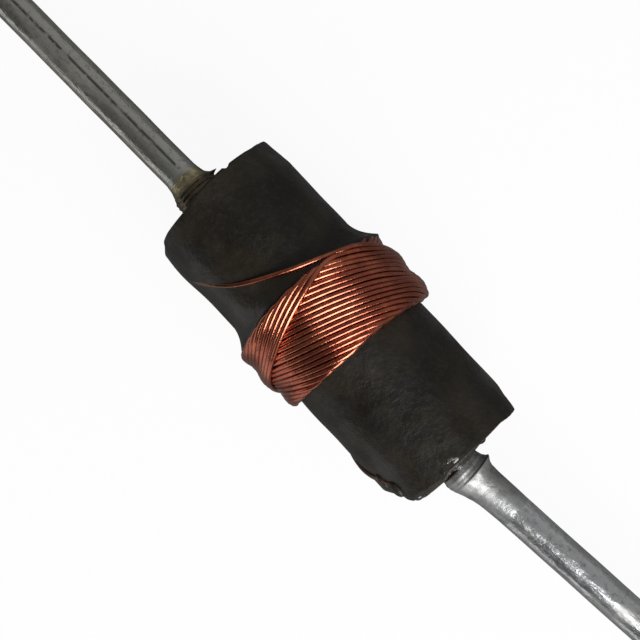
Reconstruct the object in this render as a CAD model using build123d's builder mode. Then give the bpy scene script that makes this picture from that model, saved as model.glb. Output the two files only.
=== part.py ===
from build123d import *
from math import acos, asin, atan2, cos, degrees, hypot, radians, sin, tan
import os

# An axial inductor. A narrow cross-wound coil of enamelled copper wire sits on a dark rod core,
# and a thick tinned lead is cemented into each end of the rod. The wire's two tails run over the
# rod to its ends and are wrapped round the leads and soldered.
# Millimetres and degrees. +X runs from the tip of lead a to the tip of lead b, +Z is up, and the
# part lies on its coil and on the two lead tips. Angles round the rod count from its top, and
# grow towards +Y.

# Rod core
core_diameter = 2.75
core_length = 6.4
rim_rounding = 0.05
hole_diameter = 0.86
hole_depth = 1.6

# Places where the rod's rims are worn or chipped: which end, angle round the rod, how far the
# flat reaches along the rod, and how deep it is at the end face
rim_chips = [
    (-1, -88, 0.30, 0.17),
    (-1, -150, 0.22, 0.12),
    (-1, 40, 0.12, 0.06),
    (1, -92, 0.68, 0.24),
    (1, 96, 0.30, 0.15),
    (1, 165, 0.28, 0.12),
]

# Leads: each leaves its hole at its own offset from the rod's axis, and leans sideways from there
lead_diameter = 0.64
lead_length = 25.4
lead_a_bend_radius = 23.8
lead_a_tilt_in_hole = 3.1
lead_b_bend_radius = 25.8
lead_b_tilt_in_hole = 0
lead_gap_in_hole = 0.12
lead_a_offset = -0.19
lead_a_lean = -1.67
lead_b_offset = -0.05
lead_b_lean = 5.2

# Magnet wire and the coil that it is wound into
wire_diameter = 0.095
coil_diameter = 3.284
coil_width = 1.42
coil_centre = -0.16
coil_edge_chamfer = 0.05
turns_per_cover = 26
newest_turn_angle = 21
outward_leg_turn = 181
ridge_gap = 0.008
ridge_height = 0.036
ridge_root = 0.02
ridge_end_gap = 0.045

# Tails: how far each point lies along the bare rod from the coil's side (0) to the end (1), and
# its angle round the rod
finish_tail_points = [
    (0.03, 24), (0.10, 7), (0.17, -9), (0.25, -23), (0.33, -37), (0.43, -50),
    (0.54, -64), (0.65, -79), (0.76, -95), (0.84, -111), (0.90, -127), (0.93, -143),
]
start_tail_points = [
    (0.12, -173), (0.24, -153), (0.36, -133), (0.48, -113), (0.60, -93), (0.71, -75),
    (0.82, -62), (0.92, -58),
]
finish_tail_rise_angle = 46
start_tail_rise_angle = -193
tail_depth_in_coil = 0.14
tail_half_step_angle = 10
rim_gap = 0.02
rim_bend_radius = 0.08

# Wraps of the tails round the lead roots
wrap_start = 0.12
wrap_pitch = 0.13
wraps_a = 1.0
wraps_b = 2.0
wrap_gap = 0.04
wrap_half_step_angle = 22.5

# Cement, solder and varnish
cement_collar_radius = 0.66
cement_collar_height = 0.09
cement_drop_length = 0.98
cement_drop_width = 0.38
cement_lump_length = 0.56
cement_lump_width = 0.40
cement_lump_rise = 0.05
cement_lump_inset = 0.17
solder_base_gap = 0.05
solder_a_length = 0.66
solder_a_radius = 0.47
solder_a_shoulder = 0.35
solder_a_spike = 0.56
solder_a_edge = 0.03
solder_spike_foot = 0.31
solder_spike_foot_radius = 0.085
solder_spike_tip_radius = 0.01
solder_b_length = 1.20
solder_b_foot_radius = 0.45
solder_b_radius = 0.51
solder_b_lip = 0.34
solder_b_hollow = (0.387, 0.636)
solder_b_edge = 0.01
varnish_run = 0.41
varnish_rise = 0.215
varnish_hollow = (0.172, 0.075)

# Sizes that follow from the driving dimensions
core_radius = core_diameter / 2
lead_radius = lead_diameter / 2
wire_radius = wire_diameter / 2
coil_radius = coil_diameter / 2
half_length = core_length / 2
coil_left = coil_centre - coil_width / 2
coil_right = coil_centre + coil_width / 2
ring_radius = coil_radius - ridge_height
ridge_half_width = (wire_diameter - ridge_gap) / 2
turning_width = coil_width - 2 * coil_edge_chamfer - wire_diameter
rest_height = coil_radius
lead_droop = degrees(asin((rest_height - lead_radius) / lead_length))


def lead_tip(end, offset, lean):
    """Where a lead's tip lies in plan, along and across the rod."""
    reach = lead_length * cos(radians(lead_droop))
    along = end * (half_length + reach * cos(radians(lean)))
    across = offset + reach * sin(radians(lean))
    return along, across


tip_a = lead_tip(-1, lead_a_offset, lead_a_lean)
tip_b = lead_tip(1, lead_b_offset, lead_b_lean)
core_skew = atan2(tip_b[1] - tip_a[1], tip_b[0] - tip_a[0])

# The rod's own frame: x along the rod towards lead b, y across it, z up
core_frame = Plane(
    origin=(0, 0, rest_height),
    x_dir=(cos(core_skew), -sin(core_skew), 0),
    z_dir=(0, 0, 1),
)
core_axis = Axis(core_frame.origin, core_frame.x_dir)
profile_plane = Plane(core_frame.origin, x_dir=core_frame.x_dir, z_dir=-core_frame.y_dir)


def at(along, radius, angle):
    """A point given along the rod, out from its axis and round it."""
    turn = radians(angle)
    return core_frame.from_local_coords(Vector(along, radius * sin(turn), radius * cos(turn)))


def end_plane(end):
    """The rod's end face, looking outwards, with its x across the rod."""
    return Plane(at(end * half_length, 0, 0), x_dir=core_frame.y_dir, z_dir=core_frame.x_dir * end)


def lead_frame(end, offset, lean):
    """A lead's root on the end face, with z out along the lead's free run."""
    root = core_frame.from_local_coords(Vector(end * half_length, offset, 0))
    level = core_frame.x_dir * (end * cos(radians(lean))) + core_frame.y_dir * sin(radians(lean))
    down = Vector(0, 0, -sin(radians(lead_droop)))
    return Plane(root, x_dir=core_frame.y_dir, z_dir=level * cos(radians(lead_droop)) + down)


frame_a = lead_frame(-1, lead_a_offset, lead_a_lean)
frame_b = lead_frame(1, lead_b_offset, lead_b_lean)


def easy_radii(points):
    """The largest arc at each corner of a route that its two runs leave room for."""
    radii = []
    for before, corner, after in zip(points, points[1:], points[2:]):
        into = corner - before
        out = after - corner
        half_turn = radians(into.get_angle(out)) / 2
        radii.append(0.45 * min(into.length, out.length) / tan(half_turn))
    return radii


# Rod core, with its worn rims and its two blind holes
with BuildPart() as core:
    with BuildSketch(profile_plane):
        with Locations((0, core_radius / 2)):
            Rectangle(core_length, core_radius)
    revolve(axis=core_axis)
    rims = core.edges().filter_by(GeomType.CIRCLE)
    fillet(rims, radius=rim_rounding)
    for end, angle, run, drop in rim_chips:
        radial_plane = Plane(
            core_frame.origin,
            x_dir=core_frame.x_dir * end,
            z_dir=(core_frame.x_dir * end).cross(at(0, 1, angle) - core_frame.origin),
        )
        with BuildSketch(radial_plane):
            with BuildLine():
                Polyline(
                    (half_length - 2 * run, core_radius + drop),
                    (half_length + run, core_radius - 2 * drop),
                    (half_length + run, core_radius + drop),
                    close=True,
                )
            make_face()
        extrude(amount=core_radius, both=True, mode=Mode.SUBTRACT)
    for end, offset in ((-1, lead_a_offset), (1, lead_b_offset)):
        with BuildSketch(end_plane(end)):
            with Locations((offset, 0)):
                Circle(hole_diameter / 2)
        extrude(amount=-hole_depth, mode=Mode.SUBTRACT)
core.part.label = "core"


def make_lead(end, frame, bend_radius, tilt):
    """A tinned wire from its end in the hole to its tip, with an easy bend at the root."""
    along = core_frame.x_dir * end
    run = hole_depth - lead_gap_in_hole
    sideways = (frame.z_dir - along * frame.z_dir.dot(along)).normalized()
    inner_point = frame.origin - along * run + sideways * (run * tan(radians(tilt)))
    tip = frame.from_local_coords(Vector(0, 0, lead_length))
    with BuildPart() as lead:
        with BuildLine() as route:
            FilletPolyline(inner_point, frame.origin, tip, radius=bend_radius)
        with BuildSketch(Plane(inner_point, z_dir=route.line % 0)):
            Circle(lead_radius)
        sweep(path=route.line)
    return lead


lead_a = make_lead(-1, frame_a, lead_a_bend_radius, lead_a_tilt_in_hole)
lead_a.part.label = "lead_a"
lead_b = make_lead(1, frame_b, lead_b_bend_radius, lead_b_tilt_in_hole)
lead_b.part.label = "lead_b"


def make_leg(share_from, share_to, turn_from, turn_to):
    """One slanting leg of the top turns, between two shares of the coil's width, and its middle."""
    along = coil_centre + (share_from - 0.5) * turning_width
    rise = (share_to - share_from) * turning_width
    turn = turn_to - turn_from
    out_of_coil = at(0, 1, newest_turn_angle - turn_from) - core_frame.origin
    start = Plane(at(along, 0, 0), x_dir=out_of_coil, z_dir=core_frame.x_dir)
    with BuildLine() as leg:
        Helix(pitch=rise * 360 / abs(turn), height=rise, radius=ring_radius, lefthand=turn < 0)
    path = leg.line.moved(start.location)
    with BuildSketch(Plane(path @ 0, x_dir=out_of_coil, z_dir=path % 0), mode=Mode.PRIVATE) as section:
        with BuildLine():
            Polyline(
                (-ridge_root, ridge_half_width),
                (-ridge_root, -ridge_half_width),
                (0, -ridge_half_width),
                (ridge_height, -ridge_half_width / 2),
                (ridge_height, ridge_half_width / 2),
                (0, ridge_half_width),
                close=True,
            )
        make_face()
    ridge = sweep(section.sketch, path=path, is_frenet=True, mode=Mode.PRIVATE)
    middle = at(along + rise / 2, ring_radius + ridge_height / 2, newest_turn_angle - turn_from - turn / 2)
    return ridge, middle


def wrap_points(frame, rim_point, turns):
    """The corners of the wraps round a lead, which the wire meets on a tangent."""
    local = frame.to_local_coords(rim_point)
    wrap_radius = lead_radius + wire_radius + wrap_gap
    distance = hypot(local.X, local.Y)
    first = degrees(atan2(local.Y, local.X)) + degrees(acos(wrap_radius / distance))
    corner_radius = wrap_radius / cos(radians(wrap_half_step_angle))
    points = []
    for step in range(round(turns * 180 / wrap_half_step_angle) + 1):
        angle = radians(first + wrap_half_step_angle * (2 * step + 1))
        height = wrap_start + wrap_pitch * step * wrap_half_step_angle / 180
        corner = Vector(corner_radius * cos(angle), corner_radius * sin(angle), height)
        points.append(frame.from_local_coords(corner))
    return points


def tail_route(end, side, shares, rise_angle, frame, turns):
    """The centre line of a tail: out of the coil, over the rod, down its end and round the lead."""
    surface = core_radius + wire_radius
    lift = 1 / cos(radians(tail_half_step_angle))
    span = half_length - abs(side)
    points = [at(side - end * wire_diameter, surface + tail_depth_in_coil, rise_angle)]
    for share, angle in shares:
        points.append(at(end * (abs(side) + share * span), surface * lift, angle))
    last_angle = shares[-1][1]
    rim_point = at(end * (half_length + wire_radius + rim_gap), surface + rim_gap, last_angle)
    wraps = wrap_points(frame, rim_point, turns)
    route = points + [rim_point] + wraps
    radii = easy_radii(route)
    radii[len(points) - 1] = rim_bend_radius
    return route, radii


def make_tail(route, radii):
    """A length of the magnet wire along a route."""
    with BuildLine() as line:
        FilletPolyline(*route, radius=radii)
    with BuildSketch(Plane(line.line @ 0, z_dir=line.line % 0), mode=Mode.PRIVATE) as section:
        Circle(wire_radius)
    return sweep(section.sketch, path=line.line, mode=Mode.PRIVATE)


# The magnet wire: the packed turns as one ring, its top turns as ridges, and both tails
with BuildPart() as coil_wire:
    with BuildSketch(profile_plane) as ring:
        with Locations((coil_centre, (core_radius + ring_radius) / 2)):
            Rectangle(coil_width, ring_radius - core_radius)
        outer_corners = ring.vertices().sort_by(Axis.Z)[-2:]
        chamfer(outer_corners, length=coil_edge_chamfer)
    revolve(axis=core_axis)

    advance = 360 / turns_per_cover
    cycle = 360 - advance
    return_leg_turn = cycle - outward_leg_turn
    legs = []
    for age in range(turns_per_cover):
        outward_end = 1 - age * advance / cycle - ridge_end_gap
        if outward_end > ridge_end_gap:
            start_turn = age * advance
            legs.append(make_leg(0, outward_end, start_turn, start_turn + outward_end * outward_leg_turn))
        return_start = age * advance / cycle
        if return_start < 1 - ridge_end_gap:
            foot = return_start + ridge_end_gap
            foot_turn = age * advance - foot * return_leg_turn
            head_turn = age * advance - return_leg_turn
            legs.append(make_leg(foot, 1, foot_turn, head_turn))
    add([ridge for ridge, middle in legs])
    # A few legs get lost when all are added in one go, and those are added once more
    joined = coil_wire.part.solid()
    add([ridge for ridge, middle in legs if not joined.is_inside(middle)])

    finish_route = tail_route(
        -1, coil_left, finish_tail_points, finish_tail_rise_angle, frame_a, wraps_a
    )
    start_route = tail_route(
        1, coil_right, start_tail_points, start_tail_rise_angle, frame_b, wraps_b
    )
    add(make_tail(*finish_route))
    add(make_tail(*start_route))
coil_wire.part.label = "coil_wire"


def make_drop(centre, long_way, length, width):
    """A drop of cement: an egg shape, round about its long way."""
    across = long_way.cross(core_frame.y_dir)
    plane = Plane(centre, x_dir=long_way, z_dir=across)
    with BuildPart(mode=Mode.PRIVATE) as drop:
        with BuildSketch(plane):
            with BuildLine():
                Line((-length / 2, 0), (length / 2, 0))
                EllipticalCenterArc((0, 0), length / 2, width / 2, start_angle=0, arc_size=180)
            make_face()
        revolve(axis=Axis(centre, long_way))
    return drop.part


def make_cement(end, offset, drops, lead):
    """Cement in a lead's hole, with the collar that was squeezed out over the end face, and drops."""
    face = end_plane(end)
    with BuildPart() as cement:
        with BuildSketch(face):
            with Locations((offset, 0)):
                Circle(hole_diameter / 2)
        extrude(amount=-hole_depth)
        collar_plane = Plane(
            face.from_local_coords(Vector(offset, 0, 0)), x_dir=face.x_dir, z_dir=-face.y_dir
        )
        with BuildSketch(collar_plane):
            with BuildLine():
                Line((0, 0), (cement_collar_radius, 0))
                EllipticalCenterArc(
                    (0, 0), cement_collar_radius, cement_collar_height, start_angle=0, arc_size=90
                )
                Line((0, cement_collar_height), (0, 0))
            make_face()
        revolve(axis=Axis(collar_plane.origin, face.z_dir))
        add(lead.part, mode=Mode.SUBTRACT)
        for drop in drops:
            add(drop)
        add(core.part, mode=Mode.SUBTRACT)
        add(coil_wire.part, mode=Mode.SUBTRACT)
    return cement


cement_a = make_cement(-1, lead_a_offset, [], lead_a)
cement_a.part.label = "cement_a"

# On the lead b end the cement also ran up the end face and over the rim
drop_centre = at(half_length, core_radius - cement_drop_length / 2 + cement_lump_rise, 0)
lump_centre = at(half_length - cement_lump_inset, core_radius - cement_lump_rise, 0)
cement_drops = [
    make_drop(drop_centre, core_frame.z_dir, cement_drop_length, cement_drop_width),
    make_drop(lump_centre, core_frame.x_dir, cement_lump_length, cement_lump_width),
]
cement_b = make_cement(1, lead_b_offset, cement_drops, lead_b)
cement_b.part.label = "cement_b"


def solder_plane(frame):
    """A plane through a lead's axis, with y out along the lead."""
    return Plane(frame.origin, x_dir=frame.x_dir, z_dir=-frame.y_dir)


# Short fillet on lead a, with the spike that the iron drew out
with BuildPart() as solder_a:
    with BuildSketch(solder_plane(frame_a)):
        with BuildLine():
            Polyline(
                (0, solder_base_gap),
                (solder_a_radius, solder_base_gap),
                (solder_a_radius, solder_a_shoulder),
                (lead_radius + solder_a_edge, solder_a_length),
                (0, solder_a_length),
                close=True,
            )
        make_face()
    revolve(axis=Axis(frame_a.origin, frame_a.z_dir))
    spike_foot = frame_a.from_local_coords(Vector(lead_radius, 0, solder_spike_foot))
    spike_length = solder_a_spike - lead_radius
    with BuildSketch(Plane(spike_foot, z_dir=frame_a.x_dir)):
        Circle(solder_spike_foot_radius)
    with BuildSketch(Plane(spike_foot, z_dir=frame_a.x_dir).offset(spike_length)):
        Circle(solder_spike_tip_radius)
    loft()
    add(lead_a.part, mode=Mode.SUBTRACT)
    add(coil_wire.part, mode=Mode.SUBTRACT)
    add(cement_a.part, mode=Mode.SUBTRACT)
    add(core.part, mode=Mode.SUBTRACT)
solder_a.part.label = "solder_a"

# Long cone on lead b, with a lip at its foot
with BuildPart() as solder_b:
    with BuildSketch(solder_plane(frame_b)):
        with BuildLine():
            Polyline(
                (0, solder_b_length),
                (0, solder_base_gap),
                (solder_b_foot_radius, solder_base_gap),
                (solder_b_radius, solder_b_lip),
            )
            ThreePointArc(
                (solder_b_radius, solder_b_lip),
                solder_b_hollow,
                (lead_radius + solder_b_edge, solder_b_length),
            )
            Line((lead_radius + solder_b_edge, solder_b_length), (0, solder_b_length))
        make_face()
    revolve(axis=Axis(frame_b.origin, frame_b.z_dir))
    add(lead_b.part, mode=Mode.SUBTRACT)
    add(coil_wire.part, mode=Mode.SUBTRACT)
    add(cement_b.part, mode=Mode.SUBTRACT)
    add(core.part, mode=Mode.SUBTRACT)
solder_b.part.label = "solder_b"

# Varnish that ran into a hollow fillet between the rod and the coil's lead a side
with BuildPart() as varnish:
    with BuildSketch(profile_plane):
        with BuildLine():
            Polyline(
                (coil_left, core_radius + varnish_rise),
                (coil_left, core_radius),
                (coil_left - varnish_run, core_radius),
            )
            ThreePointArc(
                (coil_left - varnish_run, core_radius),
                (coil_left - varnish_hollow[0], core_radius + varnish_hollow[1]),
                (coil_left, core_radius + varnish_rise),
            )
        make_face()
    revolve(axis=core_axis)
    add(coil_wire.part, mode=Mode.SUBTRACT)
varnish.part.label = "varnish"

os.makedirs("parts", exist_ok=True)
export_step(core.part, "parts/core.step")
export_step(lead_a.part, "parts/lead_a.step")
export_step(lead_b.part, "parts/lead_b.step")
export_step(coil_wire.part, "parts/coil_wire.step")
export_step(cement_a.part, "parts/cement_a.step")
export_step(cement_b.part, "parts/cement_b.step")
export_step(solder_a.part, "parts/solder_a.step")
export_step(solder_b.part, "parts/solder_b.step")
export_step(varnish.part, "parts/varnish.step")
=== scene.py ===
from math import acos, asin, atan2, cos, degrees, exp, floor, hypot, pi, radians, sin, sqrt

import bmesh
import bpy
from mathutils import Matrix, Vector, noise


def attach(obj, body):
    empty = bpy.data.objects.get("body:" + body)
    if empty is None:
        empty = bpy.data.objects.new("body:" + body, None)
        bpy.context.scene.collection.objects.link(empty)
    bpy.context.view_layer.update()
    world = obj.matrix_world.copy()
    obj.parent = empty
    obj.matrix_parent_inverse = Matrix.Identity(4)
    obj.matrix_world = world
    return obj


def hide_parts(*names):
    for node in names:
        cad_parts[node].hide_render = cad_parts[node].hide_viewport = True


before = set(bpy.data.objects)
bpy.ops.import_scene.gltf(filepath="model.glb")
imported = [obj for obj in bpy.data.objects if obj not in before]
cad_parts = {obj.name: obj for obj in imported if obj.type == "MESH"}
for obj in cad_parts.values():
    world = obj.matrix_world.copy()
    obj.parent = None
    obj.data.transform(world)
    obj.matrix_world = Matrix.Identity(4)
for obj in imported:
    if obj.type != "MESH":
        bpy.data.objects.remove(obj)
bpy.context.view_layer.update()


# ROD CORE
# A pressed rod of dark powdered-iron or ferrite compound, dipped in varnish. Its end faces are
# uneven, their rims are worn and chipped, and each end has a blind hole for a lead.
# Every piece is shaped in the rod's own frame, in millimetres, with x along the rod. An end is -1
# or 1, as the side of x where it lies, and lead a is the one at -1.
core_radius = 1.375
core_half = 3.2
rest_height = 1.642
hole_radius = 0.43
hole_depth = 1.6
lead_radius = 0.32
lead_length = 25.4
lead_offset = {-1: -0.19, 1: -0.05}
lead_lean = {-1: radians(-1.67), 1: radians(5.2)}
lead_droop = asin((rest_height - lead_radius) / lead_length)
lead_span = {end: lead_length * cos(lead_droop) * cos(lead_lean[end]) for end in (-1, 1)}
lead_drift = {end: lead_length * cos(lead_droop) * sin(lead_lean[end]) for end in (-1, 1)}
core_skew = atan2(
    lead_offset[1] + lead_drift[1] - lead_offset[-1] - lead_drift[-1],
    2 * core_half + lead_span[1] + lead_span[-1],
)

rod_frame = Matrix.Translation((0, 0, rest_height)) @ Matrix.Rotation(-core_skew, 4, "Z")
millimetres = Matrix.Scale(0.001, 4)


class Number:
    """A value in a finish's nodes, for which Python's sums make the nodes."""

    def __init__(self, finish, socket):
        self.finish = finish
        self.socket = socket

    def maths(self, operation, first, second):
        return self.finish.node("ShaderNodeMath", {"operation": operation}, {0: first, 1: second})

    def __add__(self, other):
        return self.maths("ADD", self, other)

    def __mul__(self, other):
        return self.maths("MULTIPLY", self, other)

    def __sub__(self, other):
        return self.maths("SUBTRACT", self, other)

    def __rsub__(self, other):
        return self.maths("SUBTRACT", other, self)

    __radd__ = __add__
    __rmul__ = __mul__


class Finish:
    """A material whose nodes are made one by one."""

    def __init__(self, name):
        self.material = bpy.data.materials.new(name)
        self.material.use_nodes = True
        self.tree = self.material.node_tree
        self.shader = self.tree.nodes["Principled BSDF"]

    def node(self, kind, settings, inputs, output=0):
        made = self.tree.nodes.new(kind)
        for name, value in settings.items():
            setattr(made, name, value)
        for name, value in inputs.items():
            self.feed(made.inputs[name], value)
        return Number(self, made.outputs[output])

    def feed(self, socket, value):
        if isinstance(value, Number):
            self.tree.links.new(value.socket, socket)
        else:
            socket.default_value = value

    def surface(self, **values):
        for name, value in values.items():
            self.feed(self.shader.inputs[name.replace("_", " ")], value)

    def place(self, scale=(1, 1, 1)):
        """Object coordinates in millimetres, turned so that x runs along the rod."""
        spot = self.node("ShaderNodeTexCoord", {}, {}, output="Object")
        return self.node(
            "ShaderNodeMapping",
            {},
            {
                "Vector": spot,
                "Rotation": (0, 0, core_skew),
                "Scale": tuple(1000 * share for share in scale),
            },
        )

    def along(self, axis):
        """How far along the rod (X), across it (Y) or up (Z) a point lies, in millimetres."""
        return self.node("ShaderNodeSeparateXYZ", {}, {"Vector": self.place()}, output=axis)

    def noise(self, size, detail=3.0, roughness=0.55, scale=(1, 1, 1)):
        """Soft noise whose blotches are about that many millimetres across."""
        return self.node(
            "ShaderNodeTexNoise",
            {},
            {
                "Vector": self.place(scale),
                "Scale": 1 / size,
                "Detail": detail,
                "Roughness": roughness,
            },
        )

    def ramp(self, value, low, high):
        """The value stretched so that low becomes 0 and high becomes 1."""
        return self.node(
            "ShaderNodeMapRange",
            {"interpolation_type": "SMOOTHSTEP"},
            {"Value": value, "From Min": low, "From Max": high},
        )

    def mix(self, share, first, second):
        """A colour between two, given as colours or as Numbers that carry one."""
        colours = [c if isinstance(c, Number) else (*c, 1) for c in (first, second)]
        inputs = {0: share, 6: colours[0], 7: colours[1]}
        return self.node("ShaderNodeMix", {"data_type": "RGBA"}, inputs, output=2)

    def bump(self, height, distance):
        """Small relief, that many millimetres high."""
        return self.node("ShaderNodeBump", {}, {"Height": height, "Distance": distance / 1000})


def start_piece():
    """Nothing is selected, so that what is added next is all that an operator acts on."""
    if bpy.context.object and bpy.context.object.mode != "OBJECT":
        bpy.ops.object.mode_set(mode="OBJECT")
    bpy.ops.object.select_all(action="DESELECT")


def cut_in_rings(piece, axis, length, cuts):
    """Opens a plain cylinder for shaping, with that many cuts across its long edges."""
    shape = bmesh.new()
    shape.from_mesh(piece.data)
    spans = {e: abs(e.verts[0].co[axis] - e.verts[1].co[axis]) for e in shape.edges}
    long_edges = [e for e in shape.edges if spans[e] > length / 2]
    bmesh.ops.subdivide_edges(shape, edges=long_edges, cuts=cuts)
    return shape


def drawn_in(shape, ring):
    """Extrudes an open ring of edges, and gives the new ring and its corners."""
    made = bmesh.ops.extrude_edge_only(shape, edges=ring)["geom"]
    new_ring = [g for g in made if isinstance(g, bmesh.types.BMEdge)]
    return new_ring, {v for e in new_ring for v in e.verts}


def set_in_place(piece, name, finish, slot, *nodes):
    """Takes a piece from the rod's frame in millimetres to its place, and gives it its finish."""
    piece.name = name
    piece.data.name = name
    piece.data.transform(millimetres @ rod_frame @ piece.matrix_world)
    piece.matrix_world = Matrix.Identity(4)
    piece.data.materials.clear()
    piece.data.materials.append(finish.material)
    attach(piece, "root")
    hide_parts(*nodes)


# How far each end face falls short of the rod's full length: the place across it, and the step
face_steps = {
    -1: [
        (-1.4, 0.11), (-1.05, 0.06), (-0.6, 0.055), (0.0, -0.015), (0.39, -0.03), (0.45, 0.03),
        (0.53, -0.025), (1.0, -0.02), (1.15, -0.05), (1.3, -0.09),
    ],
    1: [
        (-1.2, 0.08), (-0.86, 0.07), (-0.76, 0.0), (-0.45, 0.0), (-0.3, 0.065), (0.9, 0.065),
        (1.3, -0.03),
    ],
}
step_reach = 0.6

# Where the rims are worn or chipped: end, angle round the rod from its top towards +y, half width
# in degrees, reach along the rod, depth at the rim
rim_wear = [
    (-1, -95, 34, 0.15, 0.11),
    (-1, 92, 50, 0.55, 0.065),
    (-1, -150, 26, 0.25, 0.13),
    (-1, 150, 22, 0.16, 0.08),
    (1, -92, 38, 0.52, 0.33),
    (1, 95, 44, 0.62, 0.095),
    (1, 165, 24, 0.28, 0.12),
    (1, -35, 18, 0.10, 0.04),
]
rim_rounding = 0.03

# The skin is uneven, and swells a little on its -y side near lead a
skin_relief = 0.018
swell_middle = -2.6
swell_reach = 0.5
swell_height = 0.045


def read_off(marks, place):
    """The value at a place, from marks that each hold a place and a value."""
    if place <= marks[0][0]:
        return marks[0][1]
    for (near, low), (far, high) in zip(marks, marks[1:]):
        if place <= far:
            return low + (high - low) * (place - near) / (far - near)
    return marks[-1][1]


def worn_radius(x, angle, spot):
    """The rod's radius at a place along and round it."""
    radius = core_radius + skin_relief * noise.noise(spot * 1.3)
    swell = exp(-(((x - swell_middle) / swell_reach) ** 2))
    radius += swell_height * swell * max(0.0, -sin(radians(angle))) ** 3
    end = 1 if x > 0 else -1
    inward = core_half - abs(x)
    for worn_end, middle, half_width, reach, depth in rim_wear:
        if worn_end != end:
            continue
        away = abs((angle - middle + 180) % 360 - 180) / half_width
        ragged = 0.20 * noise.noise(spot * 5 + Vector((middle, 0, 0)))
        round_share = max(0.0, 1 - away**2 + ragged)
        worn_reach = reach * (0.6 + 0.4 * min(1.0, round_share))
        long_share = max(0.0, 1 - inward / worn_reach + ragged * 0.5)
        radius -= depth * min(1.0, 1.4 * round_share) * min(1.0, long_share) ** 1.1
    if inward < rim_rounding:
        radius -= rim_rounding - sqrt(max(0.0, rim_rounding**2 - (rim_rounding - inward) ** 2))
    return radius


start_piece()
bpy.ops.mesh.primitive_cylinder_add(
    vertices=240, radius=core_radius, depth=2 * core_half, end_fill_type="NOTHING",
    rotation=(0, pi / 2, 0),
)
core = bpy.context.object
bpy.ops.object.transform_apply(rotation=True)
shape = cut_in_rings(core, axis=0, length=2 * core_half, cuts=149)
for vertex in shape.verts:
    # The rings are moved closer together towards the worn ends
    share = vertex.co.x / core_half
    x = core_half * (1.33 * share - 0.33 * share**3)
    angle = degrees(atan2(vertex.co.y, vertex.co.z))
    radius = worn_radius(x, angle, Vector((x, vertex.co.y, vertex.co.z)))
    turn = radians(angle)
    end = 1 if x > 0 else -1
    near_end = max(0.0, 1 - (core_half - abs(x)) / step_reach) ** 2
    x -= end * near_end * read_off(face_steps[end], radius * sin(turn))
    vertex.co = (x, radius * sin(turn), radius * cos(turn))
for end in (-1, 1):
    ring = [e for e in shape.edges if e.is_boundary and all(v.co.x * end > 0 for v in e.verts)]
    for inward in (0.175, 0.35, 1.0):
        ring, corners = drawn_in(shape, ring)
        for vertex in corners:
            away = Vector((0, vertex.co.y - lead_offset[end], vertex.co.z))
            hole_rim = away.normalized() * hole_radius
            hole_rim.y += lead_offset[end]
            rim = Vector((0, vertex.co.y, vertex.co.z))
            spot = rim.lerp(hole_rim, inward)
            dent = 0.012 * noise.noise(Vector((end * 3, spot.y * 2.5, spot.z * 2.5)))
            step = read_off(face_steps[end], spot.y)
            vertex.co = (end * (core_half - step + dent - 0.01), spot.y, spot.z)
    ring, corners = drawn_in(shape, ring)
    for vertex in corners:
        vertex.co.x = end * (core_half - hole_depth)
    bmesh.ops.contextual_create(shape, geom=ring)
bmesh.ops.recalc_face_normals(shape, faces=shape.faces)
shape.to_mesh(core.data)
shape.free()
bpy.ops.object.shade_smooth_by_angle(angle=radians(50))

varnished_core = Finish("varnished_core")
blotches = varnished_core.ramp(varnished_core.noise(0.9, 4), 0.38, 0.66)
speckle = varnished_core.ramp(varnished_core.noise(0.10, 3, 0.7), 0.46, 0.74)
olive = varnished_core.mix(blotches, (0.0068, 0.0051, 0.0034), (0.0165, 0.0128, 0.0072))
grain = varnished_core.noise(0.16, 5, 0.62) + 0.8 * varnished_core.noise(0.6, 2)
varnished_core.surface(
    Base_Color=varnished_core.mix(speckle * 0.5, olive, (0.022, 0.018, 0.012)),
    Roughness=0.36 + 0.20 * varnished_core.ramp(varnished_core.noise(0.55, 3), 0.35, 0.65),
    Specular_IOR_Level=0.30,
    Coat_Weight=0.25 * varnished_core.ramp(varnished_core.noise(1.4, 2), 0.42, 0.64),
    Coat_Roughness=0.16,
    Normal=varnished_core.bump(grain, 0.022),
)
set_in_place(core, "core", varnished_core, "core", "core")


# LEADS
# Thick copper wire with a dull coat of tin, cemented into the rod's ends. They droop a little, so
# that the part rests on its coil and on both lead tips.
lead_start_in_hole = 1.48
lead_bend_in_hole = 0.1
lead_rings = 90
lead_relief = 0.006


def lead_frame(end):
    """The lead's root on the rod's end face, with z out along the lead and x across the rod."""
    out = Vector((end * cos(lead_lean[end]), sin(lead_lean[end]), 0)) * cos(lead_droop)
    out.z = -sin(lead_droop)
    across = Vector((0, 1, 0))
    across -= out * across.dot(out)
    across.normalize()
    turned = Matrix((across, out.cross(across), out)).transposed().to_4x4()
    return Matrix.Translation((end * core_half, lead_offset[end], 0)) @ turned


def tube(name, centres, radius, sides):
    """A round wire along its centre points, made as a bevelled curve and turned to a mesh."""
    start_piece()
    route = bpy.data.curves.new(name, "CURVE")
    route.dimensions = "3D"
    route.bevel_depth = radius
    route.bevel_resolution = sides // 4 - 1
    route.use_fill_caps = True
    spline = route.splines.new("POLY")
    spline.points.add(len(centres) - 1)
    for point, centre in zip(spline.points, centres):
        point.co = (*centre, 1)
    piece = bpy.data.objects.new(name, route)
    bpy.context.scene.collection.objects.link(piece)
    piece.select_set(True)
    bpy.context.view_layer.objects.active = piece
    bpy.ops.object.convert(target="MESH")
    bpy.ops.object.shade_smooth_by_angle(angle=radians(50))
    return bpy.context.object


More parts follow.
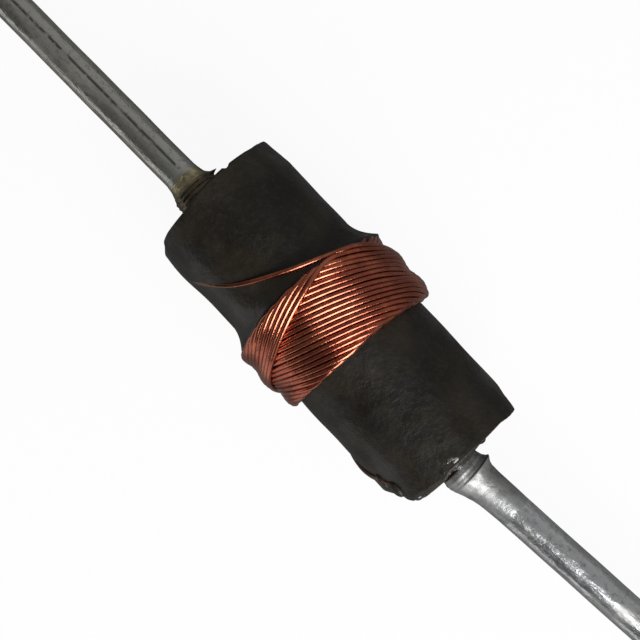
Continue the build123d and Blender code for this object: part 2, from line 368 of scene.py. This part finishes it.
tinned = Finish("dull_tinned_wire")
dull = tinned.ramp(tinned.noise(0.42, 4, 0.6, (0.5, 1, 1)), 0.44, 0.68)
specks = tinned.ramp(tinned.noise(0.09, 3, 0.7), 0.50, 0.72)
brown = tinned.ramp(tinned.along("X") + tinned.noise(0.8, 2), -2.2, -3.9)
tin_colour = tinned.mix(dull, (0.68, 0.69, 0.70), (0.40, 0.40, 0.385))
tarnish = tinned.mix(brown * 0.8, tin_colour, (0.48, 0.47, 0.41))
specked = tinned.mix(specks * 0.55, tarnish, (0.20, 0.19, 0.165))
# Lead a has a long crease beside its top. Its shape is not modelled, and it shows only as a thin
# line of painted shade.
crease_shade_line = tinned.along("Y") - 0.0292 * tinned.along("X") + 0.036
on_crease_shade = tinned.ramp(crease_shade_line * crease_shade_line, 0.0011, 0.0002)
painted_crease_shade = on_crease_shade * tinned.ramp(tinned.along("X"), -3.7, -4.0)
painted_crease_shade = painted_crease_shade * tinned.ramp(tinned.noise(0.22, 3), 0.34, 0.50) * 0.8
tinned.surface(
    # Painted shade of lead a's crease darkens the base colour in a thin line
    Base_Color=tinned.mix(painted_crease_shade, specked, (0.05, 0.05, 0.045)),
    Metallic=1.0 - 0.15 * dull,
    Roughness=0.20 + 0.18 * dull,
    Normal=tinned.bump(tinned.noise(0.13, 4, 0.6, (0.30, 1, 1)), 0.018),
)

for end, name in ((-1, "lead_a"), (1, "lead_b")):
    seat = lead_frame(end)
    centres = [
        Vector((end * (core_half - depth), lead_offset[end], 0))
        for depth in (lead_start_in_hole, lead_bend_in_hole)
    ]
    for step in range(1, lead_rings + 1):
        centres.append(seat @ Vector((0, 0, lead_length * (step / lead_rings) ** 2)))
    lead = tube(name, centres, lead_radius, sides=72)
    for vertex in lead.data.vertices:
        local = seat.inverted() @ vertex.co
        if local.z < 0.1 or hypot(local.x, local.y) < 0.9 * lead_radius:
            continue
        spot = Vector((local.x * 2.5, local.y * 2.5, local.z * 1.2 + end))
        dent = lead_relief * noise.noise(spot)
        local.x *= 1 + dent / lead_radius
        local.y *= 1 + dent / lead_radius
        vertex.co = seat @ local
    set_in_place(lead, name, tinned, "tinned_lead", name)


# MAGNET WIRE
# One enamelled copper wire. The winder lays it to and fro across the narrow coil at a slant, so
# that the turns cross, and each new turn lies beside the last. Its tails run over the rod to its
# ends and round the lead roots.
wire_radius = 0.0475
coil_radius = 1.642
coil_centre = -0.15
coil_travel = 1.4725
layer_height = 0.066
deepest_layer = 2.6

# The guide goes to and fro once in each cycle, a little less than a full turn. Angles are in
# degrees, and the winding is followed from its outer end at last_angle inwards.
turns_per_cover = 33
advance = 360 / turns_per_cover
cycle = 360 - advance
outward_leg = 181
return_leg = cycle - outward_leg
last_angle = 34.85
turns = 62
sample_step = 3.5

# The coil stands further towards +x on its flanks, is narrower on the -y one, and bulges near its
# top towards -x
lean_plus = 0.13
lean_minus = 0.04
narrower_minus = 0.16
bulge_height = 0.045
bulge_angle = -15
bulge_spread = 40

# The flanks stand out in soft humps, and fall away towards the +x edge
hump_height = 0.024
hump_crest = -0.70
hump_spacing = 0.56
flank_rise = 0.028


def lowered_by(turn):
    """How many wires deep the winding lies, and its share of the width, so far before its end."""
    age = floor(turn / cycle)
    within = turn - age * cycle
    covers = cycle / advance
    if within < return_leg:
        share = within / return_leg
        behind = age - covers * share
        if behind <= 0:
            depth = age / (covers * share + 1)
        else:
            depth = 1 + behind / (covers * (1 - share) + 1)
    else:
        share = 1 - (within - return_leg) / outward_leg
        behind = age - covers * (1 - share)
        if behind <= 0:
            depth = age / max(covers * (1 - share), 0.5)
        else:
            depth = 1 + behind / (covers * share + 1)
    return min(depth, deepest_layer), share


def on_rod(x, radius, angle):
    """A point given along the rod, out from its axis and round it from the top towards +y."""
    turn = radians(angle)
    return Vector((x, radius * sin(turn), radius * cos(turn)))


def smoothed(values, reach):
    """A running mean over that many neighbours on both sides."""
    windows = [values[max(0, index - reach):index + reach + 1] for index in range(len(values))]
    return [sum(near[1:], near[0]) / len(near) for near in windows]


def coil_place(share, angle):
    """Where along the rod a share of the coil's width lies, at an angle round it."""
    plus = max(0.0, sin(radians(angle))) ** 2
    minus = max(0.0, -sin(radians(angle))) ** 2
    middle = coil_centre + lean_plus * plus + lean_minus * minus
    travel = coil_travel - narrower_minus * minus
    bulge = bulge_height * exp(-(((angle - bulge_angle + 180) % 360 - 180) / bulge_spread) ** 2)
    return middle + (share - 0.5) * travel - (1 - share) * bulge


def coil_swell(x, angle):
    """How far the coil stands out at a place, beyond its round radius."""
    flank = sin(radians(angle))
    humps = hump_height * flank**2 * cos(2 * pi * (x - hump_crest) / hump_spacing)
    if flank > 0:
        return humps + flank_rise * flank**2 - 0.09 * max(0.0, x - 0.5)
    return humps - 0.05 * flank**2 * max(0.0, x - 0.15) / 0.4


samples = [index * sample_step for index in range(int(turns * cycle / sample_step))]
depths, shares = zip(*(lowered_by(turn) for turn in samples))
depths = smoothed(smoothed(list(depths), 2), 2)
shares = smoothed(list(shares), 2)
winding = []
for turn, depth, share in zip(samples, depths, shares):
    spot = Vector((turn / 60, floor(turn / cycle) * 3.7, 0))
    angle = last_angle + turn
    x = coil_place(share, angle) + 0.018 * noise.noise(spot)
    rise = coil_swell(x, angle) + 0.008 * noise.noise(spot + Vector((0, 0, 9)))
    radius = coil_radius - wire_radius - layer_height * depth + rise
    winding.append(on_rod(x, radius, angle))

# The varnish fillet at the coil's side, which the finish tail lies in. It stands higher on the +y
# flank, and stays below the coil's outer wires.
varnish_start = -1.40
varnish_top = -0.81
varnish_rise = 0.255
varnish_cap = 0.165
flank_varnish_rise = 0.03
flank_varnish_cap = 0.11


def varnish_height(x, angle):
    """How high the varnish fillet stands above the rod. It follows the coil's side."""
    side = coil_place(0, angle) - coil_place(0, 90) + lean_plus
    share = (x - side - varnish_start) / (varnish_top - varnish_start)
    flank = max(0.0, sin(radians(angle))) ** 4
    rise = (varnish_rise + flank_varnish_rise * flank) * max(0.0, share) ** 2.1
    cap = varnish_cap + flank_varnish_cap * flank
    return min(rise, cap) * max(0.0, min(1.0, 2.5 - 1.5 * share))


# Each tail: places along the rod, and the angle round it, from the coil to the rod's end
finish_tail = [
    (-0.87, 31.5), (-0.92, 26), (-1.0, 17.5), (-1.08, 9), (-1.22, -3), (-1.43, -20),
    (-1.66, -38), (-1.93, -53), (-2.22, -69), (-2.45, -80), (-2.68, -92), (-2.85, -103),
    (-3.0, -116), (-3.08, -132), (-3.11, -146),
]
start_tail = [
    (0.50, -205), (0.60, -193), (0.80, -172), (1.05, -152), (1.33, -132), (1.62, -113),
    (1.90, -101), (2.17, -89), (2.41, -71), (2.64, -58), (2.80, -54), (2.97, -54), (3.12, -56),
]


def tail_run(marks, sunk, deeper, deeper_from):
    """A tail over the rod, lying in the varnish film, and deeper from some place on."""
    run = []
    for (x, angle), (next_x, next_angle) in zip(marks, marks[1:]):
        for step in range(6):
            part = step / 6
            place = x + (next_x - x) * part
            share = max(0.0, min(1.0, (abs(place) - deeper_from) / 0.4))
            radius = core_radius + wire_radius - sunk - share * deeper
            if place < 0:
                radius += varnish_height(place, angle) - 0.5 * max(0.0, min(0.1, place + 1.02))
            elif place < 0.8:
                # The start tail comes down to the rod from the coil's inner turns
                radius += 0.12 * (0.8 - place) / 0.3
            run.append(on_rod(place, radius, angle + (next_angle - angle) * part))
    return smoothed(smoothed(run, 3), 3)


# Where the wraps round each lead start above the end face, and how far a full turn climbs
wrap_start = {-1: 0.10, 1: 0.0}
wrap_pitch = {-1: 0.115, 1: 0.01}
wrap_steps = 36


def wraps(end, rim, count):
    """The tail from the rim down the end face and round the lead's root."""
    seat = lead_frame(end)
    local = seat.inverted() @ rim
    wrap_radius = lead_radius + wire_radius + 0.004
    away = hypot(local.x, local.y)
    first = atan2(local.y, local.x) + acos(wrap_radius / away)
    touch = Vector((wrap_radius * cos(first), wrap_radius * sin(first), wrap_start[end]))
    points = [rim]
    points += [rim.lerp(seat @ touch, part / 10) for part in range(1, 10)]
    for step in range(round(count * wrap_steps) + 1):
        angle = first + radians(step * 360 / wrap_steps)
        height = wrap_start[end] + wrap_pitch[end] * step / wrap_steps
        points.append(seat @ Vector((wrap_radius * cos(angle), wrap_radius * sin(angle), height)))
    return points


def joined(pieces):
    """Joins pieces into the first of them."""
    start_piece()
    for piece in pieces:
        piece.select_set(True)
    bpy.context.view_layer.objects.active = pieces[0]
    bpy.ops.object.join()
    return pieces[0]


rim_a = on_rod(-core_half + 0.06, core_radius + 0.01, -147)
rim_b = on_rod(core_half - 0.07, core_radius - 0.13, -57)
finish_over_rod = tail_run(finish_tail, sunk=0.010, deeper=0.036, deeper_from=1.35)
start_over_rod = tail_run(start_tail, sunk=0.03, deeper=0.10, deeper_from=2.5)
finish_run = smoothed(finish_over_rod + wraps(-1, rim_a, count=1.5), 1)
start_run = smoothed(start_over_rod + wraps(1, rim_b, count=1.0), 1)

coil_and_finish = tube("coil_wire", list(reversed(finish_run)) + winding, wire_radius, sides=12)
start_wire = tube("start_tail", start_run, wire_radius, sides=12)
coil_wire = joined([coil_and_finish, start_wire])

copper = Finish("enamelled_copper")
tint = copper.ramp(copper.noise(0.5, 3), 0.35, 0.68)
stain = copper.ramp(copper.noise(0.22, 3), 0.52, 0.74)
copper_colour = copper.mix(tint, (0.36, 0.095, 0.055), (0.56, 0.175, 0.095))
# Away from the coil both tails lie under dark varnish
finish_varnished = copper.ramp(copper.along("X"), -1.45, -1.80)
start_varnished = copper.ramp(copper.along("X"), 0.9, 1.9)
under_varnish = finish_varnished + start_varnished
varnished_copper = copper.mix(under_varnish * 0.92, copper_colour, (0.085, 0.056, 0.033))
copper.surface(
    Base_Color=copper.mix(stain * 0.7, varnished_copper, (0.16, 0.045, 0.026)),
    Metallic=1.0,
    Roughness=0.21 + 0.14 * stain,
    Coat_Weight=0.22,
    Coat_Roughness=0.12,
    Normal=copper.bump(copper.noise(0.06, 2), 0.004),
)
set_in_place(coil_wire, "coil_wire", copper, "copper_wire", "coil_wire")


# CEMENT
# Dark glossy resin that fills the holes round the leads. It was squeezed out over the end faces,
# and on one end it ran up and over the rim in a lump.
dark_resin = Finish("dark_resin")
clouds = dark_resin.ramp(dark_resin.noise(0.3, 3), 0.4, 0.65)
dark_resin.surface(
    Base_Color=dark_resin.mix(clouds, (0.009, 0.0068, 0.0045), (0.021, 0.0165, 0.0095)),
    Roughness=0.16 + 0.22 * dark_resin.ramp(dark_resin.noise(0.2, 3), 0.45, 0.7),
    Coat_Weight=0.6,
    Coat_Roughness=0.08,
    Normal=dark_resin.bump(dark_resin.noise(0.16, 4), 0.035),
)
cement_skin = 0.016
cement_soften_steps = 16
fit_gap = 0.004
floor_gap = 0.02
collar_thickness = 0.07
collar_radius = 0.60

# Flattened balls of resin that run together: along the rod from its end, out from its axis, angle
# round it, radius, and how flat the ball lies on the rod (1 is round)
cement_drops = {
    -1: [
        (-0.02, 0.45, 20, 0.10, 1), (-0.02, 0.52, -60, 0.10, 1), (-0.02, 0.50, -130, 0.10, 1),
        (-0.02, 0.42, 120, 0.10, 1),
    ],
    1: [
        (-0.05, 0.50, 10, 0.14, 1), (-0.05, 0.66, 4, 0.13, 1), (-0.06, 0.82, -4, 0.13, 1),
        (-0.07, 0.96, -6, 0.13, 1), (-0.08, 1.08, -6, 0.12, 1), (-0.10, 1.19, -6, 0.11, 1),
        (-0.13, 1.27, -6, 0.12, 0.9), (-0.22, 1.31, -3, 0.17, 0.5), (-0.31, 1.325, -7, 0.18, 0.38),
        (-0.40, 1.335, -2, 0.15, 0.3), (-0.17, 1.30, -16, 0.15, 0.5), (-0.13, 1.29, -26, 0.13, 0.5),
        (-0.10, 1.27, -36, 0.11, 0.5),
        (-0.03, 0.55, -60, 0.12, 1), (-0.04, 0.61, -59, 0.12, 1), (-0.05, 0.67, -59, 0.12, 1),
        (-0.05, 0.73, -58, 0.12, 1), (-0.06, 0.79, -58, 0.12, 1), (-0.06, 0.85, -58, 0.12, 1),
        (-0.07, 0.91, -57, 0.12, 1), (-0.07, 0.97, -57, 0.12, 1), (-0.08, 1.03, -57, 0.12, 1),
        (-0.09, 1.09, -57, 0.11, 1), (-0.10, 1.15, -57, 0.11, 1), (-0.02, 0.50, 80, 0.10, 1),
        (-0.02, 0.50, 170, 0.10, 1),
    ],
}


def fused(parts, voxel, smooth_steps):
    """Joins overlapping solids into one skin, as a liquid that has set."""
    piece = joined(parts)
    remesh = piece.modifiers.new("skin", "REMESH")
    remesh.mode = "VOXEL"
    remesh.voxel_size = voxel
    remesh.use_smooth_shade = True
    bpy.ops.object.modifier_apply(modifier=remesh.name)
    soften = piece.modifiers.new("soften", "SMOOTH")
    soften.iterations = smooth_steps
    soften.factor = 0.5
    bpy.ops.object.modifier_apply(modifier=soften.name)
    return piece


for end, name in ((-1, "cement_a"), (1, "cement_b")):
    start_piece()
    bpy.ops.mesh.primitive_cylinder_add(
        vertices=64, radius=hole_radius - fit_gap, depth=hole_depth - floor_gap,
        location=(end * (core_half - hole_depth / 2), lead_offset[end], 0), rotation=(0, pi / 2, 0),
    )
    parts = [bpy.context.object]
    start_piece()
    bpy.ops.mesh.primitive_uv_sphere_add(
        segments=48, ring_count=24, radius=1, location=(end * core_half, lead_offset[end], 0),
        scale=(collar_thickness, collar_radius, collar_radius),
    )
    parts.append(bpy.context.object)
    for along, reach, angle, size, flatness in cement_drops[end]:
        start_piece()
        bpy.ops.mesh.primitive_uv_sphere_add(
            segments=32, ring_count=16, radius=size, scale=(1, 1, flatness),
            location=on_rod(end * (core_half + along), reach, angle),
            rotation=(radians(-angle), 0, 0),
        )
        parts.append(bpy.context.object)
    cement = fused(parts, cement_skin, cement_soften_steps)
    set_in_place(cement, name, dark_resin, "cement", name)


# SOLDER
# Tin solder that joins each tail to its lead. On one end it is a short fillet over the wraps, brown
# with flux, darkened next to the rod with painted shade, and drawn out into a spike, and on the
# other a long bright cone with a small lip.
bright_solder = Finish("bright_solder")
smear = bright_solder.ramp(bright_solder.noise(0.24, 4, 0.6), 0.45, 0.68)
toward_root = bright_solder.ramp(bright_solder.along("X"), 4.8, 4.0)
at_root = bright_solder.mix(smear, (0.36, 0.36, 0.36), (0.22, 0.22, 0.21))
further_out = bright_solder.mix(smear, (0.54, 0.55, 0.56), (0.36, 0.36, 0.35))
bright_solder.surface(
    Base_Color=bright_solder.mix(toward_root, further_out, at_root),
    Metallic=1.0,
    Roughness=0.28 + 0.26 * toward_root + 0.08 * smear,
    Normal=bright_solder.bump(bright_solder.noise(0.10, 3, 0.6), 0.010),
)

browned_solder = Finish("browned_solder")
flux = browned_solder.ramp(browned_solder.noise(0.25, 3), 0.36, 0.62)
# The solder next to the rod's end face is darkened with painted shade
painted_shade_near_core = browned_solder.ramp(browned_solder.along("X"), -3.75, -3.50)
near_lead = browned_solder.ramp(browned_solder.along("X"), -3.72, -3.92)
golden = browned_solder.mix(flux, (0.66, 0.58, 0.34), (0.36, 0.31, 0.19))
gilt = browned_solder.mix(near_lead, golden, (0.52, 0.52, 0.50))
browned_solder.surface(
    Base_Color=browned_solder.mix(painted_shade_near_core, gilt, (0.12, 0.095, 0.065)),
    Metallic=0.9,
    Roughness=0.22 + 0.12 * flux,
    Normal=browned_solder.bump(browned_solder.noise(0.10, 4, 0.6), 0.014),
)
solder_finish = {-1: browned_solder, 1: bright_solder}

# How far out along the lead, and the solder's radius there, on the side towards -y and on the other
solder_minus = {
    -1: [
        (0.03, 0.33), (0.06, 0.44), (0.17, 0.45), (0.26, 0.445), (0.345, 0.436), (0.40, 0.41),
        (0.46, 0.385), (0.58, 0.34), (0.70, 0.322), (0.76, 0.31),
    ],
    1: [
        (0.03, 0.33), (0.06, 0.46), (0.16, 0.49), (0.25, 0.475), (0.32, 0.458), (0.48, 0.42),
        (0.67, 0.362), (0.83, 0.342), (1.05, 0.330), (1.25, 0.324), (1.45, 0.316),
    ],
}
solder_plus = {
    -1: [
        (0.03, 0.33), (0.06, 0.39), (0.17, 0.405), (0.345, 0.405), (0.40, 0.385), (0.46, 0.36),
        (0.58, 0.335), (0.70, 0.322), (0.76, 0.31),
    ],
    1: [
        (0.03, 0.32), (0.06, 0.33), (0.16, 0.34), (0.25, 0.362), (0.30, 0.395), (0.325, 0.425),
        (0.36, 0.405), (0.42, 0.365), (0.50, 0.342), (0.67, 0.330), (1.05, 0.327), (1.25, 0.324),
        (1.45, 0.316),
    ],
}
solder_relief = 0.014

# The wraps show through as ripples
ripple_height = {-1: 0.007, 1: 0.0025}
ripple_middle = 0.27
ripple_spread = 0.12
ripple_spacing = 0.085

# The spike and the bead on lead a's solder, with angles in radians from +y
spike_reach = 0.33
spike_height = 0.14
spike_width = 0.16
spike_length = 0.035
bead_reach = 0.53
bead_height = 0.045
bead_angle = radians(-85)
bead_width = 0.18
bead_length = 0.07


def solder_radius(end, reach, angle):
    """The solder's radius at a place out along the lead and round it."""
    plus = (1 + cos(angle)) / 2
    radius = read_off(solder_minus[end], reach) * (1 - plus)
    radius += read_off(solder_plus[end], reach) * plus
    skin = min(1.0, max(0.0, (radius - lead_radius) / 0.08))
    spot = Vector((cos(angle) * 2, sin(angle) * 2, reach * 5 + end))
    radius += solder_relief * skin * noise.noise(spot)
    ripples = exp(-(((reach - ripple_middle) / ripple_spread) ** 2))
    radius += ripple_height[end] * ripples * cos(2 * pi * reach / ripple_spacing)
    if end == -1:
        spike = exp(-((angle / spike_width) ** 2))
        radius += spike_height * (spike * exp(-abs(reach - spike_reach) / spike_length))
        bead = exp(-(((angle - bead_angle) / bead_width) ** 2))
        radius += bead_height * (bead * exp(-(((reach - bead_reach) / bead_length) ** 2)))
    return radius


for end, name in ((-1, "solder_a"), (1, "solder_b")):
    start = solder_minus[end][0][0]
    stop = solder_minus[end][-1][0]
    start_piece()
    bpy.ops.mesh.primitive_cylinder_add(
        vertices=96, radius=0.4, depth=stop - start, end_fill_type="NGON",
        location=(0, 0, (start + stop) / 2),
    )
    solder = bpy.context.object
    bpy.ops.object.transform_apply(location=True)
    shape = cut_in_rings(solder, axis=2, length=stop - start, cuts=110)
    for vertex in shape.verts:
        reach = vertex.co.z
        angle = atan2(vertex.co.y, vertex.co.x)
        radius = solder_radius(end, reach, angle)
        vertex.co = (radius * cos(angle), radius * sin(angle), reach)
    shape.to_mesh(solder.data)
    shape.free()
    bpy.ops.object.shade_smooth_by_angle(angle=radians(60))
    solder.data.transform(lead_frame(end))
    set_in_place(solder, name, solder_finish[end], "solder", name)


# VARNISH
# The impregnating varnish has run into the corner between the rod and the coil's side, and has set
# there in a dark hollow fillet. Two drops of it hold the start tail down near the rod's end, and a
# small one lies beside the finish tail.
fillet_length = 1.04
fillet_middle = -1.06
fillet_thickness = 0.03
start_piece()
bpy.ops.mesh.primitive_cylinder_add(
    vertices=180, radius=core_radius, depth=fillet_length, end_fill_type="NOTHING",
    location=(fillet_middle, 0, 0), rotation=(0, pi / 2, 0),
)
varnish = bpy.context.object
bpy.ops.object.transform_apply(location=True, rotation=True)
shape = cut_in_rings(varnish, axis=0, length=fillet_length, cuts=40)
for vertex in shape.verts:
    x = vertex.co.x
    angle = degrees(atan2(vertex.co.y, vertex.co.z))
    turn = radians(angle)
    uneven = 1 + 0.14 * noise.noise(Vector((cos(turn) * 2, sin(turn) * 2, 7)))
    radius = worn_radius(x, angle, vertex.co) - 0.004
    radius += (uneven + 0.03) * varnish_height(x, angle)
    vertex.co = (x, radius * sin(turn), radius * cos(turn))
shape.to_mesh(varnish.data)
shape.free()
thicken = varnish.modifiers.new("thickness", "SOLIDIFY")
thicken.thickness = fillet_thickness
thicken.offset = -1
bpy.ops.object.modifier_apply(modifier=thicken.name)

# Each drop: along the rod, angle round it, half its length, half its width, height
varnish_drops = [
    (2.78, -58, 0.17, 0.10, 0.075),
    (2.52, -66, 0.16, 0.06, 0.05),
    (-1.08, 1, 0.11, 0.05, 0.07),
]
parts = [varnish]
for x, angle, length, width, height in varnish_drops:
    start_piece()
    bpy.ops.mesh.primitive_uv_sphere_add(
        segments=32, ring_count=16, radius=1, scale=(length, width, height),
        location=on_rod(x, core_radius, angle), rotation=(radians(-angle), 0, 0),
    )
    parts.append(bpy.context.object)
varnish = joined(parts)
bpy.ops.object.shade_smooth_by_angle(angle=radians(60))
set_in_place(varnish, "varnish", varnished_core, "varnish", "varnish")


# FLOOR AND SURROUNDINGS
# A white table in a dim room. To the camera it is evenly white. In the metal it shows a painted
# reflection:
# the table glows faintly near the part and brightly only some way out on the -y side. The room is
# lighter towards +y.
start_piece()
bpy.ops.mesh.primitive_plane_add(size=1.0, location=(0, 0, 0))
table = bpy.context.object
table.name = "table"
white_table = Finish("white_table")
camera_ray = white_table.node("ShaderNodeLightPath", {}, {}, output="Is Camera Ray")
glossy_ray = white_table.node("ShaderNodeLightPath", {}, {}, output="Is Glossy Ray")
glass_ray = white_table.node("ShaderNodeLightPath", {}, {}, output="Is Transmission Ray")
white_table.surface(
    Base_Color=white_table.mix(camera_ray, (0.16, 0.16, 0.16), (0.85, 0.85, 0.85)),
    Roughness=0.9,
    Specular_IOR_Level=0.1,
)
glow = white_table.node("ShaderNodeEmission", {}, {"Color": (1, 1, 1, 1), "Strength": 1.0})
# For glossy and transmission rays the table glows brighter from 3.4 to 8 mm out on the -y side, as
# a painted reflection of a lit area
painted_bright_side = white_table.ramp(white_table.along("Y"), -3.4, -8.0)
seen = camera_ray * 0.93 + (glossy_ray + glass_ray) * (0.03 + 0.80 * painted_bright_side)
matt_white = Number(white_table, white_table.shader.outputs[0])
blend = white_table.node("ShaderNodeMixShader", {}, {0: seen, 1: matt_white, 2: glow})
output = white_table.tree.nodes["Material Output"]
white_table.feed(output.inputs["Surface"], blend)
table.data.materials.append(white_table.material)


class Room(Finish):
    """The world round the table, whose nodes are made as a finish's are."""

    def __init__(self, name):
        self.world = bpy.data.worlds.new(name)
        self.world.use_nodes = True
        self.tree = self.world.node_tree
        self.shader = self.tree.nodes["Background"]


room = Room("dim_room")
direction = room.node("ShaderNodeTexCoord", {}, {}, output="Generated")
far_side = room.node("ShaderNodeSeparateXYZ", {}, {"Vector": direction}, output="Y")
room_light = room.node(
    "ShaderNodeMapRange",
    {},
    {"Value": far_side, "From Min": -0.7, "From Max": 0.9, "To Min": 0.11, "To Max": 0.34},
)
room.surface(Color=(1, 1, 1, 1), Strength=room_light)
bpy.context.scene.world = room.world


# LAMPS
# One large soft lamp, fairly low, beyond the end of lead b.
key_direction = Vector((0.777, -0.182, 0.602))
key_distance = 0.075
key_data = bpy.data.lights.new("soft_key", "AREA")
key_data.shape = "DISK"
key_data.size = 0.060
key_data.energy = 0.080
key = bpy.data.objects.new("soft_key", key_data)
bpy.context.scene.collection.objects.link(key)
key.location = rod_frame.to_3x3() @ key_direction * key_distance
key.rotation_euler = (-key.location).to_track_quat("-Z", "Y").to_euler()


# CAMERA
# It looks almost straight down on the part, with the rod running from upper left to lower right.
distance = 0.024
picture_width = 0.01139
tilt = radians(3.2)
picture_turn = radians(47)
across = rod_frame.to_3x3() @ Vector((cos(picture_turn), sin(picture_turn), 0))
core_direction = rod_frame.to_3x3() @ Vector((1, 0, 0))
back = (core_direction * sin(tilt) + Vector((0, 0, cos(tilt)))).normalized()
right = (across - back * across.dot(back)).normalized()
up = back.cross(right)
target = millimetres @ rod_frame @ Vector((-0.28, -0.15, 0))
camera_data = bpy.data.cameras.new("camera")
camera_data.sensor_width = 36
camera_data.lens = camera_data.sensor_width * distance / picture_width
camera_data.clip_start = 0.001
camera_data.clip_end = 10
camera = bpy.data.objects.new("camera", camera_data)
bpy.context.scene.collection.objects.link(camera)
turned = Matrix((right, up, back)).transposed().to_4x4()
camera.matrix_world = Matrix.Translation(target + back * distance) @ turned
bpy.context.scene.camera = camera
bpy.context.scene.view_settings.view_transform = "Standard"
